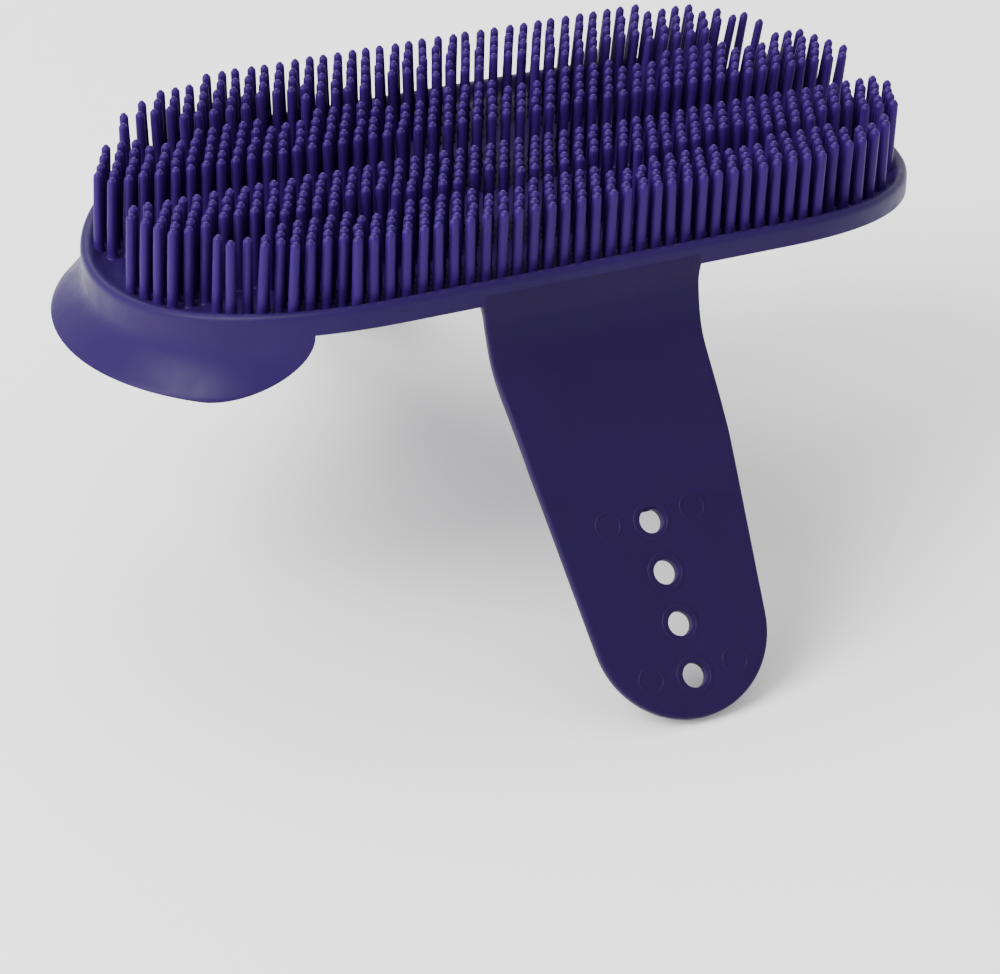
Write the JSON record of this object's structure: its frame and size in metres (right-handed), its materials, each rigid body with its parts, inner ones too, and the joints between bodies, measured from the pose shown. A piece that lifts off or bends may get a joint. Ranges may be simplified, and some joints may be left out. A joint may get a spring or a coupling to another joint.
{
  "type": "curry comb",
  "caption": "Dished oval curry comb with a field of upright bristles, a flared thumb guard at one end and a two-part hand strap that buttons under the palm.",
  "frame": {"origin": "centre of the flat round pad in the middle of the palm face", "axes": "+X along the comb, away from the thumb guard; +Z towards the bristle tips; the strap with the holes leaves the comb on its -Y side"},
  "size_m": [0.1898, 0.199, 0.0887],
  "materials": {
    "comb_body": "satin",
    "bristles": "satin",
    "hand_strap": "satin"
  },
  "bodies": {
    "comb": {"back_plate": "comb_body", "rim": "comb_body", "thumb_guard": "comb_body", "bristles_outer_front": "bristles", "bristles_inner_front": "bristles", "bristles_inner_back": "bristles", "bristles_outer_back": "bristles", "strap_root": "hand_strap", "peg_strap_root": "hand_strap"},
    "strap_bend": {"strap_bend": "hand_strap"},
    "strap_middle": {"strap_middle": "hand_strap"},
    "strap_end": {"strap_end": "hand_strap"},
    "peg_strap_bend": {"peg_strap_bend": "hand_strap"},
    "peg_strap_middle": {"peg_strap_middle": "hand_strap"},
    "peg_strap_end": {"peg_strap_end": "hand_strap", "peg_inner": "hand_strap", "peg_outer": "hand_strap"}
  },
  "joints": [
    {"name": "strap_wrap", "type": "hinge", "parent": "comb", "child": "strap_bend", "pos_m": [-0.0018, -0.04881, -0.00453], "axis": [1, 0, 0], "range_deg": [-8, 31], "stiffness_Nm_per_rad": 0.3},
    {"name": "strap_middle_bend", "type": "hinge", "parent": "strap_bend", "child": "strap_middle", "pos_m": [-0.0018, -0.05296, -0.01186], "axis": [1, 0, 0], "range_deg": [-12.8, 49.6], "stiffness_Nm_per_rad": 0.3},
    {"name": "strap_end_bend", "type": "hinge", "parent": "strap_middle", "child": "strap_end", "pos_m": [-0.0018, -0.06605, -0.02406], "axis": [1, 0, 0], "range_deg": [-12.8, 49.6], "stiffness_Nm_per_rad": 0.3},
    {"name": "peg_strap_wrap", "type": "hinge", "parent": "comb", "child": "peg_strap_bend", "pos_m": [-0.0018, 0.04881, -0.00453], "axis": [-1, 0, 0], "range_deg": [-8, 31], "stiffness_Nm_per_rad": 0.3},
    {"name": "peg_strap_middle_bend", "type": "hinge", "parent": "peg_strap_bend", "child": "peg_strap_middle", "pos_m": [-0.0018, 0.05296, -0.01186], "axis": [-1, 0, 0], "range_deg": [-12.8, 49.6], "stiffness_Nm_per_rad": 0.3},
    {"name": "peg_strap_end_bend", "type": "hinge", "parent": "peg_strap_middle", "child": "peg_strap_end", "pos_m": [-0.0018, 0.06027, -0.01868], "axis": [-1, 0, 0], "range_deg": [-12.8, 49.6], "stiffness_Nm_per_rad": 0.3}
  ],
  "couplings": [
    {"joint": "strap_middle_bend", "follows": "strap_wrap", "ratio": 1.6},
    {"joint": "strap_end_bend", "follows": "strap_wrap", "ratio": 1.6},
    {"joint": "peg_strap_middle_bend", "follows": "peg_strap_wrap", "ratio": 1.6},
    {"joint": "peg_strap_end_bend", "follows": "peg_strap_wrap", "ratio": 1.6}
  ]
}
